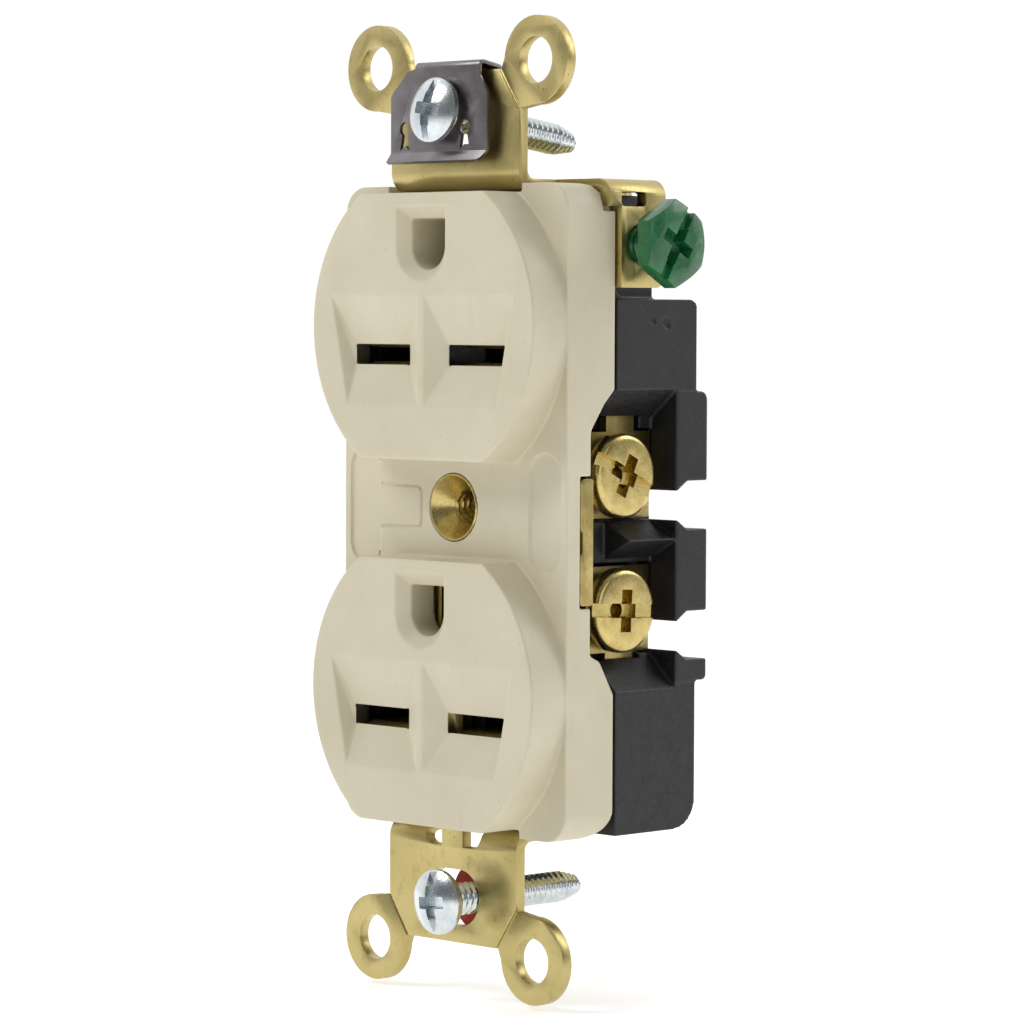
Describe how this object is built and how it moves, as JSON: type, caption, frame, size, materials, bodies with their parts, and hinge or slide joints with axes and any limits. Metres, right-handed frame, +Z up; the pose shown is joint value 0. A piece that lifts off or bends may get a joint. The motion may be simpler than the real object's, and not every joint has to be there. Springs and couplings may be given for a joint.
{
  "type": "duplex wall outlet",
  "caption": "Duplex 250 V wall outlet: ivory face with flat blade slots and U ground openings, black base, wrap-around brass strap, side screws.",
  "frame": {"origin": "middle of the back plane of the strap's mounting ears, where the outlet meets the wall", "axes": "+Y into the wall, +Z up along the strap, +X to the viewer's right"},
  "size_m": [0.0402, 0.0267, 0.1038],
  "materials": {
    "ivory_plastic": "moulded ivory thermoplastic, satin",
    "black_plastic": "moulded charcoal-black thermoset, slight sheen",
    "strap_brass": "satin rolled brass, lightly tarnished",
    "contact_brass": "stamped brass",
    "screw_brass": "bright machined brass",
    "spring_steel": "grey oiled spring steel",
    "zinc_steel": "bright zinc-plated steel",
    "red_fibre": "red vulcanised fibre",
    "green_paint": "green lacquer over steel, worn on the edges"
  },
  "bodies": {
    "outlet": {"front_cover": "ivory_plastic", "rear_body": "black_plastic", "mounting_strap": "strap_brass", "center_insert": "screw_brass", "terminal_strip_right": "strap_brass", "terminal_strip_left": "strap_brass", "blade_contact_upper_right": "contact_brass", "blade_contact_lower_right": "contact_brass", "blade_contact_upper_left": "contact_brass", "blade_contact_lower_left": "contact_brass", "contact_rivet_upper_right": "contact_brass", "contact_rivet_lower_right": "contact_brass", "contact_rivet_upper_left": "contact_brass", "contact_rivet_lower_left": "contact_brass", "ground_contact_upper": "contact_brass", "ground_contact_lower": "contact_brass", "ground_rivet_upper": "contact_brass", "ground_rivet_lower": "contact_brass", "assembly_screw_upper": "zinc_steel", "assembly_screw_lower": "zinc_steel"},
    "clip": {"self_grounding_clip": "spring_steel"},
    "upper_screw": {"upper_mounting_screw": "zinc_steel"},
    "retainer": {"lower_screw_retainer": "red_fibre"},
    "lower_screw": {"lower_mounting_screw": "zinc_steel"},
    "ground_screw": {"ground_screw": "green_paint"},
    "terminal_screw_upper_right": {"terminal_screw_upper_right": "screw_brass"},
    "terminal_screw_lower_right": {"terminal_screw_lower_right": "screw_brass"},
    "terminal_screw_upper_left": {"terminal_screw_upper_left": "screw_brass"},
    "terminal_screw_lower_left": {"terminal_screw_lower_left": "screw_brass"},
    "clamp_upper_right": {"clamp_plate_upper_right": "contact_brass"},
    "clamp_lower_right": {"clamp_plate_lower_right": "contact_brass"},
    "clamp_upper_left": {"clamp_plate_upper_left": "contact_brass"},
    "clamp_lower_left": {"clamp_plate_lower_left": "contact_brass"}
  },
  "joints": [
    {"name": "clip_shift", "type": "slide", "parent": "outlet", "child": "clip", "axis": [1, 0, 0], "range_m": [-0.0012, 0.0012]},
    {"name": "upper_screw_turn", "type": "hinge", "parent": "clip", "child": "upper_screw", "pos_m": [-0.0004, -0.0052, 0.0425], "axis": [0, 0.9903, -0.1392], "continuous": true},
    {"name": "retainer_push", "type": "slide", "parent": "outlet", "child": "retainer", "axis": [0, 1, 0], "range_m": [0, 0.0028]},
    {"name": "lower_screw_turn", "type": "hinge", "parent": "retainer", "child": "lower_screw", "pos_m": [0.0022, -0.00675, -0.0416], "axis": [0, 1, 0], "continuous": true},
    {"name": "ground_screw_turn", "type": "hinge", "parent": "outlet", "child": "ground_screw", "pos_m": [0.023, 0.0091, 0.0282], "axis": [-1, 0, 0], "range_deg": [0, 1440]},
    {"name": "clamp_draw_upper_right", "type": "slide", "parent": "outlet", "child": "clamp_upper_right", "axis": [1, 0, 0], "range_m": [0, 0.003]},
    {"name": "terminal_screw_turn_upper_right", "type": "hinge", "parent": "outlet", "child": "terminal_screw_upper_right", "pos_m": [0.0162, 0.0087, 0.00375], "axis": [-1, 0, 0], "range_deg": [0, 1360]},
    {"name": "clamp_draw_lower_right", "type": "slide", "parent": "outlet", "child": "clamp_lower_right", "axis": [1, 0, 0], "range_m": [0, 0.003]},
    {"name": "terminal_screw_turn_lower_right", "type": "hinge", "parent": "outlet", "child": "terminal_screw_lower_right", "pos_m": [0.0162, 0.0087, -0.01055], "axis": [-1, 0, 0], "range_deg": [0, 1360]},
    {"name": "clamp_draw_upper_left", "type": "slide", "parent": "outlet", "child": "clamp_upper_left", "axis": [-1, 0, 0], "range_m": [0, 0.003]},
    {"name": "terminal_screw_turn_upper_left", "type": "hinge", "parent": "outlet", "child": "terminal_screw_upper_left", "pos_m": [-0.0162, 0.0087, 0.00375], "axis": [1, 0, 0], "range_deg": [0, 1360]},
    {"name": "clamp_draw_lower_left", "type": "slide", "parent": "outlet", "child": "clamp_lower_left", "axis": [-1, 0, 0], "range_m": [0, 0.003]},
    {"name": "terminal_screw_turn_lower_left", "type": "hinge", "parent": "outlet", "child": "terminal_screw_lower_left", "pos_m": [-0.0162, 0.0087, -0.01055], "axis": [1, 0, 0], "range_deg": [0, 1360]}
  ],
  "couplings": [
    {"joint": "terminal_screw_turn_upper_right", "follows": "clamp_draw_upper_right", "rad_per_m": 7912},
    {"joint": "terminal_screw_turn_lower_right", "follows": "clamp_draw_lower_right", "rad_per_m": 7912},
    {"joint": "terminal_screw_turn_upper_left", "follows": "clamp_draw_upper_left", "rad_per_m": 7912},
    {"joint": "terminal_screw_turn_lower_left", "follows": "clamp_draw_lower_left", "rad_per_m": 7912}
  ]
}
